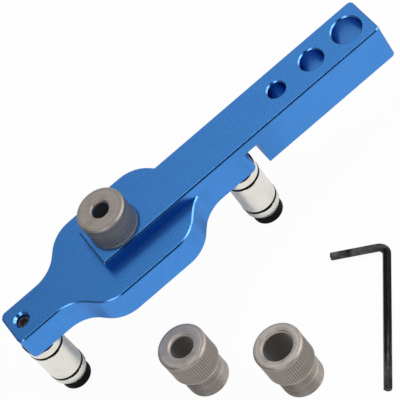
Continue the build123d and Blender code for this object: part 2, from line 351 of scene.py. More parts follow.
class Sheet:
    """A shader node tree that is filled in from code."""

    def __init__(self, owner: bpy.types.ID) -> None:
        """Empties the owner's node tree."""
        owner.use_nodes = True
        self.tree = owner.node_tree
        self.tree.nodes.clear()

    def add(self, kind: str, inputs: dict[Any, Any], **settings: Any) -> Any:
        """Adds a node.

        Args:
            kind: node type after "ShaderNode".
            inputs: values or sockets for its inputs, by name or number.
            settings: properties of the node.

        Returns:
            The outputs of the new node.
        """
        node = self.tree.nodes.new(f"ShaderNode{kind}")
        for name, value in settings.items():
            setattr(node, name, value)
        for name, value in inputs.items():
            if isinstance(value, bpy.types.NodeSocket):
                self.tree.links.new(value, node.inputs[name])
            else:
                node.inputs[name].default_value = value
        return node.outputs

    def maths(self, operation: str, *values: Any, clamp: bool = False) -> Any:
        """Result of a Math node over its values."""
        return self.add("Math", dict(enumerate(values)), operation=operation, use_clamp=clamp)[0]

    def times(self, product: Any, *factors: Any) -> Any:
        """Product of two or more values."""
        for factor in factors:
            product = self.maths("MULTIPLY", product, factor)
        return product

    def line(self, value: Any, slope: Any, start: Any) -> Any:
        """A value times a slope, plus a start."""
        return self.maths("MULTIPLY_ADD", value, slope, start)

    def object_place(self) -> Any:
        """Object coordinates."""
        return self.add("TexCoord", {})["Object"]

    def split(self, vector: Any) -> Any:
        """X, Y and Z of a vector."""
        return self.add("SeparateXYZ", {"Vector": vector})

    def length(self, vector: Any) -> Any:
        """Length of a vector."""
        return self.add("VectorMath", {0: vector}, operation="LENGTH")["Value"]

    def attribute(self, name: str) -> Any:
        """The number that each point of the piece was marked with."""
        return self.add("Attribute", {}, attribute_name=name)["Fac"]

    def noise(self, size_mm: float, detail: float) -> Any:
        """Noise from 0 to 1 over object coordinates, with blotches of a size in mm."""
        inputs = {"Vector": self.object_place(), "Scale": 1.0 / (size_mm * MM), "Detail": detail}
        return self.add("TexNoise", inputs)["Fac"]

    def line_noise(self, value: Any, per_unit: float, detail: float) -> Any:
        """Noise from 0 to 1 along one value."""
        inputs = {"W": value, "Scale": per_unit, "Detail": detail}
        return self.add("TexNoise", inputs, noise_dimensions="1D")["Fac"]

    def spread(self, value: Any, low: float, high: float) -> Any:
        """A value from 0 to 1 mapped onto a range."""
        return self.add("MapRange", {"Value": value, "To Min": low, "To Max": high})["Result"]

    def window(self, value: Any, low: float, high: float) -> Any:
        """0 below low, 1 above high and smooth between."""
        inputs = {"Value": value, "From Min": low, "From Max": high}
        return self.add("MapRange", inputs, interpolation_type="SMOOTHSTEP")["Result"]

    def blend(self, share: Any, first: Any, second: Any) -> Any:
        """Colour between two by a share."""
        return self.add("Mix", {0: share, 6: first, 7: second}, data_type="RGBA")[2]

    def scaled(self, colour: Colour, factor: Any) -> Any:
        """A colour times a factor."""
        return self.add("VectorMath", {0: colour[:3], "Scale": factor}, operation="SCALE")[0]

    def bumps(self, height: Any, depth_mm: float) -> Any:
        """Normal over a height field of a depth in mm."""
        inputs = {"Height": height, "Distance": depth_mm * MM, "Strength": 1.0}
        return self.add("Bump", inputs)["Normal"]

    def close(self, shader: Any, kind: str = "OutputMaterial") -> None:
        """Ends the tree with an output node."""
        self.add(kind, {"Surface": shader})

    def coat(self, inputs: dict[str, Any]) -> None:
        """Ends the tree with a Principled surface."""
        self.close(self.add("BsdfPrincipled", inputs)["BSDF"])


@dataclass(frozen=True)
class Finish:
    """A surface finish; one material is made of each and shared by its pieces.

    Its grains and patches of noise are each a size in mm and a detail.
    """

    name: str
    slot: Slot
    roughness: float = 0.46
    roughness_play: Pair = (0.06, 0.06)

    def material(self) -> bpy.types.Material:
        """The finish's material, made when first asked for."""
        found = bpy.data.materials.get(self.name)
        if found is None:
            found = bpy.data.materials.new(self.name)
            self.paint(Sheet(found))
        return found

    def paint(self, sheet: Sheet) -> None:
        """Fills in the node tree."""
        raise NotImplementedError

    def rough(self, sheet: Sheet, grain: Any) -> Any:
        """Roughness that follows a grain, with its play below and above."""
        below, above = self.roughness_play
        return sheet.spread(grain, self.roughness - below, self.roughness + above)


@dataclass(frozen=True)
class BlastedAnodising(Finish):
    """Dyed anodising over fine bead blasting: satin blue metal with a fine sparkle."""

    roughness: float = 0.32
    roughness_play: Pair = (0.05, 0.07)
    dye: Colour = (0.069, 0.270, 0.700, 1.0)
    edge_dye_and_highlight: Colour = (0.17, 0.40, 0.84, 1.0)
    grazing_tint: Colour = (0.70, 0.70, 0.78, 1.0)
    blast: Pair = (0.36, 3.0)
    fine_blast: Pair = (0.14, 1.0)
    fine_share: float = 0.35
    blast_depth_mm: float = 0.012
    clouds: Pair = (9.0, 2.0)
    cloud_dye: Pair = (0.95, 1.05)
    cloud_wear_and_highlight: Pair = (0.5, 0.9)
    grain_contrast: float = 0.75
    wall_grain: float = 0.35
    bore_shade_dark: float = 0.30
    bore_smooth: float = 0.06
    edge_smooth: float = 0.07
    straight_wear_and_highlight: float = 0.10
    curve_starts: Pair = (0.10, 0.40)
    seat_radius_mm: float = 8.0
    seat_shadow_width_mm: float = 0.9
    seat_depth_mm: Pair = (0.5, 1.0)
    seat_shadow_dark: float = 0.65

    def paint(self, sheet: Sheet) -> None:
        """Fine speckle and faint clouds in the dye, weaker on walls than on level faces.

        With u the squared upright part of the normal, 4 u (1 - u) is 1 on a 45 degree edge and 0 on
        flat faces and upright walls.  Edges are cut smooth, and their dye is paler, partly rubbed thin
        and partly a painted highlight, except on the straight edges along the jig, whose normal has no
        X.  Blasting doesn't reach into the bores, so they are smoother; their dye is darkened there as
        painted shade.  A thin dark ring of painted shadow lies on the top face round the bushing's seat.
        """
        speckle, fine, clouds = (sheet.noise(*size) for size in (self.blast, self.fine_blast, self.clouds))
        bore = sheet.attribute("bore")
        facing = sheet.split(sheet.add("TexCoord", {})["Normal"])
        upright = sheet.times(facing["Z"], facing["Z"])
        contrast = sheet.spread(upright, self.wall_grain, self.grain_contrast)
        grain = sheet.line(sheet.line(speckle, 2.0, -1.0), contrast, 1.0)
        # Painted shade: the dye is darkened in the bores.
        in_bore = sheet.spread(bore, 1.0, 1 - self.bore_shade_dark)
        # Painted shadow: a thin dark ring round the bushing's seat darkens the dye.
        dyed = sheet.times(grain, sheet.spread(clouds, *self.cloud_dye), in_bore, self.clear_of_seat_shadow(sheet))
        edge = sheet.times(upright, sheet.line(upright, -4.0, 4.0))
        curved = sheet.window(sheet.maths("ABSOLUTE", facing["X"]), *self.curve_starts)
        # The paler edge dye is partly rubbed wear and partly a painted highlight, kept off the straight
        # edges along the jig.
        rubbed_and_highlit = sheet.times(sheet.spread(curved, self.straight_wear_and_highlight, 1.0),
                             sheet.spread(clouds, *self.cloud_wear_and_highlight))
        worn_and_highlit = sheet.maths("MULTIPLY", edge, rubbed_and_highlit, clamp=True)
        rough = sheet.line(edge, -self.edge_smooth, self.rough(sheet, fine))
        height = sheet.times(sheet.line(fine, self.fine_share, speckle),
                             sheet.maths("SUBTRACT", 1.0, edge, clamp=True))
        sheet.coat({
            "Base Color": sheet.blend(worn_and_highlit, sheet.scaled(self.dye, dyed), self.edge_dye_and_highlight),
            "Metallic": 1.0,
            "Specular Tint": self.grazing_tint,
            "Roughness": sheet.line(bore, -self.bore_smooth, rough),
            "Normal": sheet.bumps(height, self.blast_depth_mm),
        })

    def clear_of_seat_shadow(self, sheet: Sheet) -> Any:
        """1 away from the bushing's seat; a thin dark ring of painted shadow lies on the top face round it.
        """
        place = sheet.object_place()
        plan = sheet.add("VectorMath", {0: place, 1: (1.0, 1.0, 0.0)}, operation="MULTIPLY")[0]
        inner = self.seat_radius_mm * MM
        away = sheet.window(sheet.length(plan), inner, inner + self.seat_shadow_width_mm * MM)
        depth = sheet.times(sheet.split(place)["Z"], -1.0)
        below = sheet.window(depth, *(limit * MM for limit in self.seat_depth_mm))
        return sheet.maths("MAXIMUM", sheet.spread(away, 1 - self.seat_shadow_dark, 1.0), below)


@dataclass(frozen=True)
class TurnedSteel(Finish):
    """Lathe-turned steel with fine rings that follow the tool, stained in faint patches."""

    colour: Colour = (0.43, 0.380, 0.345, 1.0)
    stain: Colour = (0.26, 0.22, 0.18, 1.0)
    stain_most: float = 0.35
    stain_edge: Pair = (0.45, 0.75)
    patches: Pair = (3.5, 3.0)
    grain: Pair = (0.22, 2.0)
    grain_share: float = 0.4
    rings_per_mm: float = 5.0
    rings_to_a_band: float = 4.0
    ring_depth_mm: float = 0.014
    ring_contrast: float = 0.30
    painted_shade_strength: float = 0.90
    dirt_rough: float = 0.10

    def paint(self, sheet: Sheet) -> None:
        """Tool rings in height and colour, stains, a fine grain, and the painted shading that the points
        are marked with, which also makes them rougher.
        """
        reach, painted_shading = sheet.attribute("turning"), sheet.attribute("painted_shading")
        patches, grain = sheet.noise(*self.patches), sheet.noise(*self.grain)
        rings = sheet.line_noise(reach, self.rings_per_mm, 3.0)
        bands = sheet.line_noise(reach, self.rings_per_mm / self.rings_to_a_band, 1.0)
        contrast = self.ring_contrast
        tone = sheet.maths("ADD", sheet.spread(rings, 1 - contrast, 1 + contrast),
                           sheet.spread(bands, -contrast, contrast))
        # Painted shade: the marks darken the steel, and where they are below 0 they lighten it as painted
        # light.
        painted_shade_factor = sheet.line(painted_shading, -self.painted_shade_strength, 1.0)
        stained = sheet.times(sheet.window(patches, *self.stain_edge), self.stain_most, painted_shade_factor)
        steel = sheet.scaled(self.colour, sheet.times(tone, painted_shade_factor))
        dirty = sheet.maths("ADD", patches, painted_shading)
        sheet.coat({
            "Base Color": sheet.blend(stained, steel, self.stain),
            "Metallic": 1.0,
            "Roughness": sheet.line(dirty, self.dirt_rough, self.rough(sheet, grain)),
            "Normal": sheet.bumps(sheet.line(grain, self.grain_share, rings), self.ring_depth_mm),
        })


@dataclass(frozen=True)
class DullBlack(Finish):
    """Black with a fine grain, and patches of a second colour: dust, or steel rubbed bare.

    Where edges_only is set, they show only on points that are marked as edges.
    """

    colour: Colour = (0.006, 0.006, 0.0075, 1.0)
    second: Colour = (0.15, 0.146, 0.148, 1.0)
    edges_only: bool = True
    edge_starts: Pair = (0.55, 1.0)
    patches: Pair = (4.0, 3.0)
    patch_edge: Pair = (0.25, 0.75)
    grain: Pair = (0.3, 3.0)
    grain_shade: Pair = (0.7, 1.5)
    grain_depth_mm: float = 0.012
    gloss: float = 0.08

    def paint(self, sheet: Sheet) -> None:
        """Grain in shade, height and gloss, and the second colour over it."""
        grain = sheet.noise(*self.grain)
        patched = sheet.window(sheet.noise(*self.patches), *self.patch_edge)
        if self.edges_only:
            patched = sheet.times(sheet.window(sheet.attribute("edge"), *self.edge_starts), patched)
        black = sheet.scaled(self.colour, sheet.spread(grain, *self.grain_shade))
        sheet.coat({
            "Base Color": sheet.blend(patched, black, self.second),
            "Roughness": self.rough(sheet, grain),
            "Specular IOR Level": self.gloss,
            "Normal": sheet.bumps(grain, self.grain_depth_mm),
        })


BODY_BLUE = BlastedAnodising("blasted_blue_anodising", Slot.ANODISED_BLUE)
BUSHING_GREY = TurnedSteel("turned_bushing_steel", Slot.BUSHING_STEEL)
LEG_BRIGHT = TurnedSteel(
    "bright_leg_steel", Slot.LEG_STEEL, colour=(0.78, 0.755, 0.70, 1.0), stain=(0.60, 0.57, 0.51, 1.0),
    stain_most=0.25, roughness=0.21, rings_per_mm=7.0, ring_depth_mm=0.004, ring_contrast=0.06,
)
RUBBER = DullBlack(
    "moulded_black_rubber", Slot.BLACK_RUBBER, roughness_play=(0.08, 0.10), edges_only=False,
    colour=(0.003, 0.003, 0.003, 1.0), second=(0.007, 0.0068, 0.0064, 1.0), patches=(2.5, 3.0),
    patch_edge=(0.4, 0.8), grain=(0.25, 3.0), grain_shade=(1.0, 1.0), grain_depth_mm=0.02, gloss=0.05,
)
BLACK_STEEL = DullBlack("oiled_black_steel", Slot.BLACKENED_STEEL, 0.28, (0.07, 0.12))
RUBBED_STEEL = DullBlack(
    "rubbed_black_steel", Slot.BLACKENED_STEEL, 0.28, (0.07, 0.12),
    colour=(0.042, 0.038, 0.042, 1.0), second=(0.27, 0.245, 0.26, 1.0),
)


# ---------------- the body


@dataclass
class JigBody:
    """One-piece body: swelled plate, raised bar along it, slot, end block and all the holes."""

    plate_drop: float = 4.3
    plate_length: float = 91.0
    plate_end_width: float = 14.0
    belly_width: float = 37.0
    belly_length: float = 32.2
    flare_length: float = 9.0
    plate_corner_radius: float = 2.25
    neck_radius: float = 12.0
    belly_radius: float = 12.0
    slot_width: float = 4.2
    bar_width: float = 16.5
    bar_tail: float = -10.0
    bar_tail_corner: float = 0.4
    block_corner: float = 1.5
    edge: float = 0.45
    edge_softness: float = 0.3
    guide_bores: Triple = (6.0, 8.0, 10.0)
    guide_spacing: float = 14.2
    guide_from_block_end: float = 7.6
    bushing_hole: float = 14.1
    stud_hole: float = 4.24
    leg_from_plate_end: float = 5.0
    blind_hole_depth: float = 6.0
    mouth_edge: float = 0.4
    mouth_softness: float = 0.12
    screw_mouth_edge: float = 0.75
    blind_mouth_edge: float = 0.2
    hole_columns: int = 128
    arc_steps: int = 16
    edge_steps: int = 4
    overlap: float = 0.005
    beyond: float = 0.3
    mouth_lead: float = 1.1
    share_fade: float = 0.3
    on_wall: float = 0.02

    def __post_init__(self) -> None:
        """Reads the body's reach and levels from the frame."""
        (_, _, self.bottom), (self.reach, _, _) = box_of("jig_body")
        self.top = 0.0
        self.plate_top = self.top - self.plate_drop

    def block(self, name: str, outline: Outline, top: float, top_share: Any = 1.0) -> Piece:
        """Upright block from the underside to a level, with the same broken edge at both ends.

        The edge is a 45 degree line from the wall to the face whose two corners are small arcs.
        """
        edge = self.edge
        corners = [(0.0, -2 * edge), (0.0, -edge), (edge, 0.0), (2 * edge, 0.0)]
        line = rounded_outline(corners, self.edge_softness, self.edge_steps, closed=False).points[1:-1]
        return surface(name, stacked(outline, both_ends(line, self.bottom, top), top_share), Cap.FLAT)

    def plate(self) -> Piece:
        """Swelled plate; its top edge stays sharp under the bar, which it runs into."""
        end_x, end_y = self.plate_length / 2, self.plate_end_width / 2
        belly_x, belly_y = self.belly_length / 2, self.belly_width / 2
        quarter = np.array([(end_x, end_y), (belly_x + self.flare_length, end_y), (belly_x, belly_y)])
        half = np.vstack([quarter, quarter[::-1] * (-1, 1)])
        radii = [self.plate_corner_radius, self.neck_radius, self.belly_radius]
        outline = rounded_outline(np.vstack([half, -half]), np.tile(radii + radii[::-1], 2), self.arc_steps)
        x, y = outline.points.T
        beside = (np.abs(y) - self.bar_width / 2) / self.share_fade + 1.0
        share = np.where(x < self.bar_tail, 1.0, np.clip(beside, 0.0, 1.0))
        return self.block("plate", outline, self.plate_top, share)

    def bar(self) -> Piece:
        """Raised bar and end block, cut away below where the bar lies on the plate."""
        half = self.bar_width / 2
        radii = [self.bar_tail_corner, self.block_corner, self.block_corner, self.bar_tail_corner]
        outline = rounded_outline(rectangle(self.bar_tail, self.reach, half), radii, self.arc_steps)
        bar = self.block("bar", outline, self.top)
        cut_end = self.plate_length / 2 + self.slot_width
        plan = rounded_outline(rectangle(self.bar_tail - self.beyond, cut_end, half + self.beyond), 0.0)
        levels = np.array([(0.0, self.bottom - self.beyond), (0.0, self.plate_top - self.overlap)])
        combine(bar, surface("under_bar", stacked(plan, levels), Cap.FLAT), "DIFFERENCE")
        return bar

    def drill(self, x: float, bore: float, top_z: float, edge: float, blind: bool) -> Piece:
        """Cutting tool for an upright hole from the underside.

        Its mouths are 45 degree chamfers with softened corners, which run on at a low slope
        above the face.

        Args:
            x: the hole's axis.
            bore: diameter.
            top_z: level of the upper mouth or of a blind hole's end.
            edge: chamfer of the mouths.
            blind: whether the upper end is closed.

        Returns:
            The tool.
        """
        wall = bore / 2
        corners = [(wall, -3 * edge), (wall, -edge), (wall + edge, 0.0),
                   (wall + edge + self.mouth_lead, self.beyond)]
        mouth = rounded_outline(corners, self.mouth_softness, self.edge_steps, closed=False).points[1:]
        profile = both_ends(mouth, self.bottom, top_z)
        if blind:
            profile = np.vstack([profile[:len(mouth)], (wall, top_z)])
        return surface("drill", carried_round(profile, self.hole_columns, (x, 0.0)), Cap.POINT)

    def build(self) -> Piece:
        """Machines the body and paints it.

        Returns:
            The finished body.
        """
        body = self.bar()
        combine(body, self.plate(), "UNION")
        leg_x = self.plate_length / 2 - self.leg_from_plate_end
        last = self.reach - self.guide_from_block_end
        blind_end = self.bottom + self.blind_hole_depth
        holes = [(0.0, self.bushing_hole, self.top, self.mouth_edge, False),
                 (-leg_x, self.stud_hole, self.plate_top, self.screw_mouth_edge, False),
                 (leg_x, self.stud_hole, blind_end, self.blind_mouth_edge, True)]
        holes += [(last - step * self.guide_spacing, bore, self.top, self.mouth_edge, False)
                  for step, bore in enumerate(reversed(self.guide_bores))]
        for hole in holes:
            combine(body, self.drill(*hole), "DIFFERENCE")
        x, y, _ = points_of(body).T
        in_bore = [np.hypot(x - middle, y) < bore / 2 + self.on_wall for middle, bore, *_ in holes]
        mark(body, "bore", np.any(in_bore, axis=0))
        body.name = "blue_body"
        return dress(body, BODY_BLUE, "jig", "jig_body")


# ---------------- drill bushings


@dataclass
class Bushing:
    """Screw-in drill bushing: knurled head, relief groove, thread and a bore with broken edges.

    Painted shading is 0 on plain steel and 1 where it is darkest; below 0 the steel is painted
    brighter.  It is painted shade on the head's sides, round its seat, in the roots of the knurl and
    thread and in the bore, and painted light on the spares' top faces.
    """

    node: str
    body: str
    bore: float
    bore_painted_shade: float = 1.0
    crown_painted_shading: float = -0.25
    knurl_painted_shade: Pair = (0.12, 0.50)
    thread_painted_shade: Pair = (0.0, 0.50)
    head_diameter: float = 16.0
    head_height: float = 11.0
    head_edge: float = 0.5
    knurl_count: int = 60
    knurl_wave: tuple[float, ...] = (0.0, 0.6, 1.0, 0.6)
    knurl_depth: float = 0.22
    knurl_setback: float = 0.03
    knurl_start: float = 1.0
    knurl_stop: float = 1.1
    knurl_run_in: float = 0.3
    knurl_run_rows: tuple[float, ...] = (0.0, 0.35, 0.7, 1.0)
    knurl_spans: int = 4
    thread_diameter: float = 14.0
    thread_depth: float = 0.5
    thread_flats: float = 0.08
    run_out_slope: float = 1.6
    pitch: float = 1.0
    rows_per_pitch: int = 12
    relief_length: float = 1.5
    relief_depth: float = 0.9
    end_edge: float = 0.75
    bore_edge: float = 0.4
    bore_lead: float = 1.4
    bore_rows: int = 6
    softness: float = 0.08
    crown_softness: float = 0.12

    def __post_init__(self) -> None:
        """Reads the axis, the seat and the end from the frame."""
        self.axis = axis_of(self.node)
        self.end, self.crown, _ = levels_of(self.node)
        self.seat = self.crown - self.head_height
        self.columns = self.knurl_count * len(self.knurl_wave)

    def knurl(self) -> Band:
        """(rows, columns, 2) radii and heights of the knurled band, and its painted shade.

        Around the head the cut is a wave between 0 and 1, steeper at the crest than at the
        root, and it runs in and out over a short length at either end.
        """
        crest = self.head_diameter / 2 - self.knurl_setback
        high, low = self.crown - self.knurl_stop, self.seat + self.knurl_start
        ends = np.array(self.knurl_run_rows) * self.knurl_run_in
        between = np.linspace(high, low, self.knurl_spans + 1)[1:-1]
        z = np.concatenate([high - ends, between, low + ends[::-1]])
        deep = np.clip(np.minimum(high - z, z - low) / self.knurl_run_in, 0.0, 1.0)[:, None]
        cut = deep * np.resize(self.knurl_wave, self.columns)
        over_all, in_roots = self.knurl_painted_shade
        height = np.broadcast_to(z[:, None], cut.shape)
        return np.stack([crest - self.knurl_depth * cut, height], -1), over_all * deep + in_roots * cut

    def thread(self) -> Band:
        """(rows, columns, 2) radii and heights of the thread, and its painted shade.

        The cut at height z and angle t is a rounded wave of the fraction of z / pitch - t / 360
        degrees; the crest is held inside a cone at the run-out and another at the end.
        """
        start = self.seat - self.relief_length
        crest = self.thread_diameter / 2
        count = int((start - self.end) / self.pitch * self.rows_per_pitch)
        z = np.linspace(start, self.end, count + 1)[:, None]
        wave = 0.5 - 0.5 * np.cos(FULL_TURN * (z / self.pitch - np.arange(self.columns) / self.columns))
        cut = np.clip((1 + 2 * self.thread_flats) * wave - self.thread_flats, 0.0, 1.0)
        run_out = crest - self.relief_depth + (start - z) * self.run_out_slope
        end_cone = crest - self.end_edge + (z - self.end)
        radius = np.minimum(crest - self.thread_depth * cut, np.minimum(run_out, end_cone))
        over_all, in_roots = self.thread_painted_shade
        return np.stack([radius, np.broadcast_to(z, radius.shape)], axis=-1), over_all + in_roots * cut

    def plain(self, points: np.ndarray, shade_amount: Any = 0.0) -> Band:
        """(rows, columns, 2) radii and heights that are the same all round, and their painted shading."""
        band = np.repeat(points[:, None, :], self.columns, axis=1)
        return band, np.broadcast_to(np.reshape(shade_amount, (-1, 1)), band.shape[:2])

    def build(self) -> Piece:
        """Carries the whole profile round the axis and paints it.

        Returns:
            The finished bushing.
        """
        rim, wall, crest = self.head_diameter / 2, self.bore / 2, self.thread_diameter / 2
        groove = crest - self.relief_depth
        crown, seat, end = self.crown, self.seat, self.end
        chamfer, lip, lead = self.head_edge, self.bore_edge, self.bore_lead
        top_line = rounded_outline(
            [(wall, crown - lead), (wall, crown - lip), (wall + lip, crown), (rim - chamfer, crown),
             (rim, crown - chamfer), (rim, crown - self.knurl_stop)],
            self.crown_softness, 3, closed=False).points[1:]
        seat_line = rounded_outline(
            [(rim, seat + self.knurl_start), (rim, seat + chamfer), (rim - chamfer, seat),
             (groove, seat), (groove, seat - self.relief_length + self.softness)],
            self.softness, 2, closed=False).points
        end_line = rounded_outline(
            [(crest - self.end_edge - self.softness, end), (wall + lip, end), (wall, end + lip),
             (wall, end + lead)], self.softness, 2, closed=False).points[:-1]
        heights = np.linspace(end + lead, crown - lead, self.bore_rows)
        bore_line = np.column_stack([np.full(self.bore_rows, wall), heights])
        # Painted shade on the plain band by the knurl and round the seat; the top face is left plain or
        # gets painted light.
        by_knurl = (crown - chamfer - top_line[:, 1] > 0) & (top_line[:, 0] > groove)
        over_all = self.knurl_painted_shade[0]
        bands = [
            self.plain(top_line, np.where(by_knurl, over_all, self.crown_painted_shading)), self.knurl(),
            self.plain(seat_line, over_all), self.thread(),
            self.plain(end_line), self.plain(bore_line, self.bore_painted_shade),
        ]
        rows = carried_round(np.concatenate([shape for shape, _ in bands]), self.columns, self.axis)
        piece = surface(f"steel_{self.node}", rows, Cap.JOINED)
        mark_turning(piece, self.axis)
        mark(piece, "painted_shading", np.concatenate([shade_amount for _, shade_amount in bands]))
        # As in the photo, the blue body doesn't reflect the bushings.
        piece.visible_glossy = False
        return dress(piece, BUSHING_GREY, self.body, self.node, sharp_degrees=50.0)


# ---------------- legs


@dataclass
class Leg:
    """A leg under one end of the plate, from the stud in the body to the rubber foot.

    The groove's corners are each a depth and a height over the taper.
    """

    side: Side
    columns: int = 128
    edge: float = 0.2
    fine_edge: float = 0.06
    washer_edge: float = 0.12
    seal_rounding: float = 0.42
    shank: float = 8.0
    stub: float = 6.0
    stud: float = 4.2
    stub_in_foot: float = 2.0
    seat_clearance: float = 0.02
    sleeve_clearance: float = 0.05
    taper: float = 2.4
    taper_end: float = 9.9
    taper_end_rounding: float = 0.15
    shoulder_rounding: float = 0.4
    groove: tuple[Pair, ...] = ((0.0, 0.35), (0.05, 0.45), (0.05, 0.60), (0.0, 0.70))
    groove_softness: float = 0.03
    foot_rounding: float = 1.0
    foot_rim_rounding: float = 0.25
    foot_bore_rounding: float = 0.1
    post_pole: float = 0.5
    foot_pole: float = 0.4

    def __post_init__(self) -> None:
        """Reads the leg's axis from the frame."""
        self.axis = axis_of(self.node("leg_post"))

    def node(self, part: str) -> str:
        """Name of one of the leg's nodes."""
        return f"{self.side.value}_{part}"

    def turned(self, part: str, corners: list[Triple], finish: Finish, steps: int = 6,
               cap: Cap = Cap.JOINED, body: str = "jig") -> Piece:
        """Carries a profile round the leg's axis and paints it.

        Args:
            part: the node's name without its side.
            corners: radius, height and rounding of each corner of the profile.
            finish: the surface finish.
            steps: pieces that each rounding is cut into.
            cap: how the profile is closed.
            body: the body that it rides.

        Returns:
            The finished piece.
        """
        table = np.array(corners)
        profile = rounded_outline(table[:, :2], table[:, 2], steps, closed=cap is Cap.JOINED)
        rows = carried_round(profile.points, self.columns, self.axis)
        piece = surface(f"turned_{self.node(part)}", rows, cap)
        mark_turning(piece, self.axis)
        return dress(piece, finish, body, self.node(part))

    def ring(self, part: str, bore: float, edge: float, finish: Finish, body: str = "jig") -> Piece:
        """Plain ring with its outer edges rounded by one radius and its bore's by a fine one."""
        low, high, outer = levels_of(self.node(part))
        fine = self.fine_edge
        corners = [(bore, low, fine), (outer, low, edge), (outer, high, edge), (bore, high, fine)]
        return self.turned(part, corners, finish, body=body)

    def post(self) -> Piece:
        """Stud, shank and stub in one piece."""
        low, high, _ = levels_of(self.node("leg_post"))
        _, shank_low, _ = levels_of(self.node("leg_bottom_collar"))
        _, shank_high, _ = levels_of(self.node("leg_washer"))
        stub, shank, stud = self.stub / 2, self.shank / 2, self.stud / 2
        corners = [(self.post_pole, low, 0.0), (stub, low, self.edge), (stub, shank_low, 0.0),
                   (shank, shank_low, self.fine_edge), (shank, shank_high, self.fine_edge),
                   (stud, shank_high, 0.0), (stud, high, self.edge), (self.post_pole, high, 0.0)]
        return self.turned("leg_post", corners, LEG_BRIGHT, 4, Cap.POINT)

    def bottom_collar(self) -> Piece:
        """Collar that tapers down to the foot, with a shallow groove above the taper."""
        low, high, outer = levels_of(self.node("leg_bottom_collar"))
        bore, shoulder = self.stub / 2 + self.seat_clearance, low + self.taper
        corners = [(bore, low, self.fine_edge), (self.taper_end / 2, low, self.taper_end_rounding),
                   (outer, shoulder, self.shoulder_rounding)]
        corners += [(outer - depth, shoulder + height, self.groove_softness)
                    for depth, height in self.groove]
        corners += [(outer, high, self.edge), (bore, high, self.fine_edge)]
        return self.turned("leg_bottom_collar", corners, LEG_BRIGHT)

    def foot(self) -> Piece:
        """Rubber cap: a cup over the stub, its floor edge rounded."""
        low, high, outer = levels_of(self.node("leg_foot"))
        bore, inner = self.stub / 2 + self.seat_clearance, self.foot_bore_rounding
        cup_floor = high - self.stub_in_foot - self.seat_clearance
        corners = [(self.foot_pole, low, 0.0), (outer, low, self.foot_rounding),
                   (outer, high, self.foot_rim_rounding), (bore, high, inner),
                   (bore, cup_floor, inner), (self.foot_pole, cup_floor, 0.0)]
        return self.turned("leg_foot", corners, RUBBER, 8, Cap.POINT)

    def build(self) -> list[Piece]:
        """Builds every piece of the leg.

        Returns:
            The finished pieces, from the stud down.
        """
        fixed_bore = self.shank / 2 + self.seat_clearance
        running_bore = self.shank / 2 + self.sleeve_clearance
        return [
            self.post(),
            self.ring("leg_washer", fixed_bore, self.washer_edge, RUBBER),
            self.ring("leg_top_collar", fixed_bore, self.edge, LEG_BRIGHT),
            self.ring("leg_upper_seal", fixed_bore, self.seal_rounding, RUBBER),
            self.ring("guide_sleeve", running_bore, self.edge, LEG_BRIGHT, f"{self.side.value}_sleeve"),
            self.ring("leg_lower_seal", fixed_bore, self.seal_rounding, RUBBER),
            self.bottom_collar(),
            self.foot(),
        ]


# ---------------- screw and key


@dataclass
class SetScrew:
    """Short socket screw over the left leg's stud.

    Each row of the socket's wall is a share of the hexagon and a depth under the top.
    """

    across_flats: float = 2.55
    socket_rows: tuple[Pair, ...] = ((1.0, 0.35), (1.0, 1.95), (0.96, 2.0), (0.2, 2.25))
    mouth_play: float = 0.12
    edge: float = 0.25
    pole: float = 0.3
    wear: float = 1.0
    columns: int = 96

    def build(self) -> Piece:
        """Carries the profile round; the socket's wall swells from a circle into a hexagon.

        At angle t a hexagon of width w across its flats reaches w / 2 / cos(t'), where t' is the
        angle from the nearest flat's middle.

        Returns:
            The finished screw.
        """
        node = "left_set_screw"
        bottom, top, outer = levels_of(node)
        half_flats = self.across_flats / 2
        angle = np.arange(self.columns) * FULL_TURN / self.columns
        hexagon = half_flats / np.cos(angle % SIXTH_TURN - SIXTH_TURN / 2)
        mouth = half_flats / math.cos(SIXTH_TURN / 2) + self.mouth_play
        outside = rounded_outline(
            [(self.pole, bottom), (outer, bottom), (outer, top), (mouth, top)],
            [0.0, self.edge, self.edge, 0.0], 4, closed=False).points
        profile = [(np.full(self.columns, radius), z) for radius, z in outside]
        profile += [(hexagon * share, top - depth) for share, depth in self.socket_rows]
        profile = np.array([np.broadcast_arrays(*row) for row in profile]).swapaxes(1, 2)
        rows = carried_round(profile, self.columns, axis_of(node))
        piece = surface("socket_set_screw", rows, Cap.POINT)
        mark(piece, "edge", np.full(len(piece.data.vertices), self.wear))
        return dress(piece, RUBBED_STEEL, "jig", node)


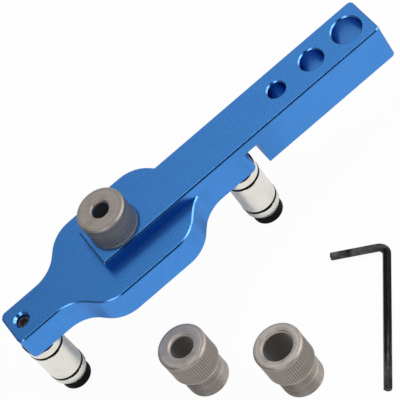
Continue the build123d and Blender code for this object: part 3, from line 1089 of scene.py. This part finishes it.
@dataclass
class HexKey:
    """Bent hexagonal key that lies on one of its flats."""

    across_flats: float = 2.5
    long_arm: float = 50.0
    short_arm: float = 18.5
    bend_radius: float = 3.0
    corner_xy: Pair = (59.9, -42.0)
    long_arm_bearing: float = -126.2
    corner_rounding: float = 0.12
    end_edge: float = 0.3
    bend_steps: int = 20
    wear_and_highlight_across: Pair = (-0.2, 1.1)
    long_arm_wear_and_highlight: float = 0.8
    short_arm_painted_light: float = 0.95

    def path(self) -> tuple[np.ndarray, np.ndarray]:
        """(n, 2) points and headings of the axis, from the long arm's end round the bend.

        Straight runs joined by a quarter arc; near either end two extra points hold the edge.
        """
        turn = np.linspace(0.0, math.pi / 2, self.bend_steps + 1)
        r, e = self.bend_radius, self.end_edge
        arc = np.column_stack([r - r * np.sin(turn), -r + r * np.cos(turn)])
        arc_heading = np.column_stack([-np.cos(turn), -np.sin(turn)])
        first = [(x, 0.0) for x in (self.long_arm, self.long_arm - e, self.long_arm / 2)]
        last = [(0.0, -y) for y in (self.short_arm / 2, self.short_arm - e, self.short_arm)]
        headings = np.vstack([[(-1.0, 0.0)] * 3, arc_heading, [(0.0, -1.0)] * 3])
        return np.vstack([first, arc, last]), headings

    def build(self) -> Piece:
        """Carries the hexagon along the path, sets it down in its place and paints it.

        Returns:
            The finished key.
        """
        flat = self.across_flats / 2
        reach = flat / math.cos(SIXTH_TURN / 2)
        angle = np.arange(12) * SIXTH_TURN / 2
        spoke = np.resize([reach, flat], 12)
        corners = np.column_stack([spoke * np.cos(angle), spoke * np.sin(angle)])
        hexagon = rounded_outline(corners, np.resize([self.corner_rounding, 0.0], 12), 3)
        points, headings = self.path()
        sideways = np.column_stack([-headings[:, 1], headings[:, 0]])
        inset = np.zeros(len(points))
        inset[[0, -1]] = self.end_edge
        section = hexagon.points[None] - hexagon.normals[None] * inset[:, None, None]
        xy = points[:, None] + sideways[:, None] * section[..., :1]
        z = box_of("hex_key")[0, 2] + flat + section[..., 1]
        turn = math.radians(self.long_arm_bearing)
        ahead = np.array([math.cos(turn), math.sin(turn)])
        plan = self.corner_xy + xy[..., :1] * ahead + xy[..., 1:] * ahead[::-1] * (-1, 1)
        piece = surface("bent_hex_key", np.dstack([plan, z]), Cap.FLAT)
        # Patches of bare steel near the corners are partly wear and partly a painted highlight; the whole
        # short arm gets them too, as painted light.
        to_corner = (np.hypot(*hexagon.points.T) - flat) / (reach - flat)
        worn_and_highlit = np.clip(np.interp(to_corner, (0.0, 1.0), self.wear_and_highlight_across), 0.0, 1.0)
        edge = np.broadcast_to(worn_and_highlit * self.long_arm_wear_and_highlight, xy.shape[:2]).copy()
        edge[[0, 1, -2, -1]] = 1.0
        edge[self.bend_steps // 2:] += self.short_arm_painted_light
        mark(piece, "edge", edge)
        return dress(piece, BLACK_STEEL, "hex_key", "hex_key")


# ---------------- studio


@dataclass(frozen=True)
class WhiteFloor:
    """Pale floor that the camera and shiny pieces see as white, and that keeps the shadow.

    Shiny pieces see it plain under the jig, where its own shadow lies, and dark far off.
    """

    colour: Colour = (0.93, 0.93, 0.93, 1.0)
    camera_glow: float = 0.95
    mirror_glow: float = 0.96
    shade_half_length: Pair = (0.038, 0.060)
    shade_half_width: Pair = (0.009, 0.022)
    shade_middle_y: float = 0.007
    far_off: Pair = (0.15, 0.60)
    far_level: float = 0.12
    half_size: float = 6.0
    below_feet_mm: float = 0.02

    def beside_jig(self, sheet: Sheet) -> Any:
        """0 in the shade under the jig and 1 beside it."""
        place = sheet.split(sheet.object_place())
        across = sheet.maths("ABSOLUTE", sheet.maths("SUBTRACT", place["Y"], self.shade_middle_y))
        along = sheet.maths("ABSOLUTE", place["X"])
        return sheet.maths("MAXIMUM", sheet.window(across, *self.shade_half_width),
                           sheet.window(along, *self.shade_half_length))

    def build(self, level: float) -> None:
        """Lays the floor at a level in metres."""
        s, z = self.half_size, level - self.below_feet_mm * MM
        mesh = bpy.data.meshes.new("studio_floor")
        mesh.from_pydata([(-s, -s, z), (s, -s, z), (s, s, z), (-s, s, z)], [], [(0, 1, 2, 3)])
        floor = placed("studio_floor", mesh)
        material = bpy.data.materials.new("white_floor")
        sheet = Sheet(material)
        ray = sheet.add("LightPath", {})
        seen = ray["Is Camera Ray"]
        mirror = sheet.maths("MAXIMUM", ray["Is Glossy Ray"], ray["Is Transmission Ray"])
        far = sheet.window(sheet.length(sheet.object_place()), *self.far_off)
        near_glow = sheet.times(self.beside_jig(sheet), self.mirror_glow)
        reflected = sheet.times(mirror, sheet.maths("MAXIMUM", near_glow, far))
        strength = sheet.maths("MAXIMUM", seen, sheet.spread(far, 1.0, self.far_level))
        matt = sheet.add("BsdfDiffuse", {"Color": self.colour})["BSDF"]
        glow = sheet.add("Emission", {"Color": WHITE, "Strength": strength})["Emission"]
        share = sheet.line(seen, self.camera_glow, reflected)
        sheet.close(sheet.add("MixShader", {0: share, 1: matt, 2: glow})["Shader"])
        mesh.materials.append(material)


@dataclass(frozen=True)
class Softbox:
    """Square light that faces the middle of the object."""

    name: str
    towards: Triple
    size: float
    brightness: float
    distance: float = 1.0
    aim: Triple = (0.03, 0.0, -0.01)

    def build(self) -> None:
        """Hangs the light at its distance, in metres, as bright as its face looks, where 1 is white."""
        lamp = bpy.data.lights.new(self.name, "AREA")
        lamp.shape = "SQUARE"
        lamp.size = self.size
        lamp.energy = self.brightness * math.pi * self.size ** 2
        box = placed(self.name, lamp)
        box.visible_camera = False
        away = Vector(self.towards).normalized()
        place = Matrix.Translation(Vector(self.aim) + away * self.distance)
        box.matrix_world = place @ away.to_track_quat("Z", "Y").to_matrix().to_4x4()


@dataclass(frozen=True)
class Studio:
    """Soft sky, cooler and dimmer to the left and dark low down, with softboxes above and around."""

    sky: float = 0.82
    left_sky: float = 0.24
    left_tint: Colour = (0.74, 0.86, 1.0, 1.0)
    sky_turn: Pair = (-0.15, 0.03)
    horizon: float = 0.12
    horizon_band: Pair = (0.05, 0.42)
    dark: float = 0.03
    dark_towards: Triple = (0.02, -0.763, 0.646)
    dark_edge: Pair = (0.79, 0.92)
    softboxes: tuple[Softbox, ...] = (
        Softbox("overhead_softbox", (0.0, 0.02, 0.95), 0.50, 2.4),
        Softbox("front_left_softbox", (-0.52, -0.60, 0.58), 0.44, 2.6),
        Softbox("front_right_softbox", (0.58, -0.55, 0.55), 0.52, 2.6),
        Softbox("right_softbox", (0.92, -0.04, 0.38), 0.50, 1.8),
    )
    camera_place_mm: Triple = (9.196, -450.668, 517.568)
    camera_right: Triple = (0.7589957, -0.5087727, -0.4062953)
    camera_up: Triple = (0.6506806, 0.5704316, 0.5012210)
    camera_clip: Pair = (0.01, 50.0)
    lens_mm: float = 201.235
    sensor_mm: float = 36.0

    def world(self) -> None:
        """Sky that fades to the horizon, with a soft dark patch; white where seen directly."""
        world = bpy.data.worlds.new("studio")
        bpy.context.scene.world = world
        sheet = Sheet(world)
        seen = sheet.add("LightPath", {})["Is Camera Ray"]
        towards = sheet.add("TexCoord", {})["Generated"]
        way = sheet.split(towards)
        facing = sheet.add("VectorMath", {0: towards, 1: self.dark_towards}, operation="DOT_PRODUCT")
        to_right = sheet.window(way["X"], *self.sky_turn)
        high_sky = sheet.spread(to_right, self.left_sky, self.sky)
        risen = sheet.window(way["Z"], *self.horizon_band)
        open_sky = sheet.line(risen, sheet.maths("SUBTRACT", high_sky, self.horizon), self.horizon)
        patch = sheet.window(facing["Value"], *self.dark_edge)
        level = sheet.line(patch, sheet.maths("SUBTRACT", self.dark, open_sky), open_sky)
        untinted = sheet.maths("MAXIMUM", to_right, seen)
        lit = sheet.add("Background", {"Color": sheet.blend(untinted, self.left_tint, WHITE),
                                       "Strength": sheet.maths("MAXIMUM", level, seen)})
        sheet.close(lit["Background"], "OutputWorld")

    def camera(self) -> None:
        """Camera at the photograph's angle."""
        right, up = Vector(self.camera_right), Vector(self.camera_up)
        turned = Matrix((right, up, right.cross(up))).transposed().to_4x4()
        lens = bpy.data.cameras.new("camera")
        lens.sensor_fit = "HORIZONTAL"
        lens.sensor_width = self.sensor_mm
        lens.lens = self.lens_mm
        lens.clip_start, lens.clip_end = self.camera_clip
        camera = placed("camera", lens)
        camera.matrix_world = Matrix.Translation(Vector(self.camera_place_mm) * MM) @ turned
        bpy.context.scene.camera = camera

    def build(self) -> None:
        """Sets up the floor, the lights, the camera and the plain view transform."""
        bpy.context.scene.view_settings.view_transform = "Standard"
        self.world()
        WhiteFloor().build(CAD_BOX[0][2])
        for box in self.softboxes:
            box.build()
        self.camera()


def main() -> None:
    """Builds every piece around the frame, then the studio."""
    logging.basicConfig(level=logging.INFO, format="%(name)s %(message)s")
    JigBody().build()
    # The fitted bushing's head gets more painted shade than the spares', and its top face no painted light.
    Bushing("drill_bushing_6mm", "fitted_bushing", 6.0, crown_painted_shading=0.0, knurl_painted_shade=(0.30, 0.22)).build()
    Bushing("spare_bushing_8mm", "spare_bushing_8mm", 8.0).build()
    Bushing("spare_bushing_10mm", "spare_bushing_10mm", 10.0).build()
    for side in Side:
        Leg(side).build()
    SetScrew().build()
    HexKey().build()
    Studio().build()


if __name__ == "__main__":
    main()
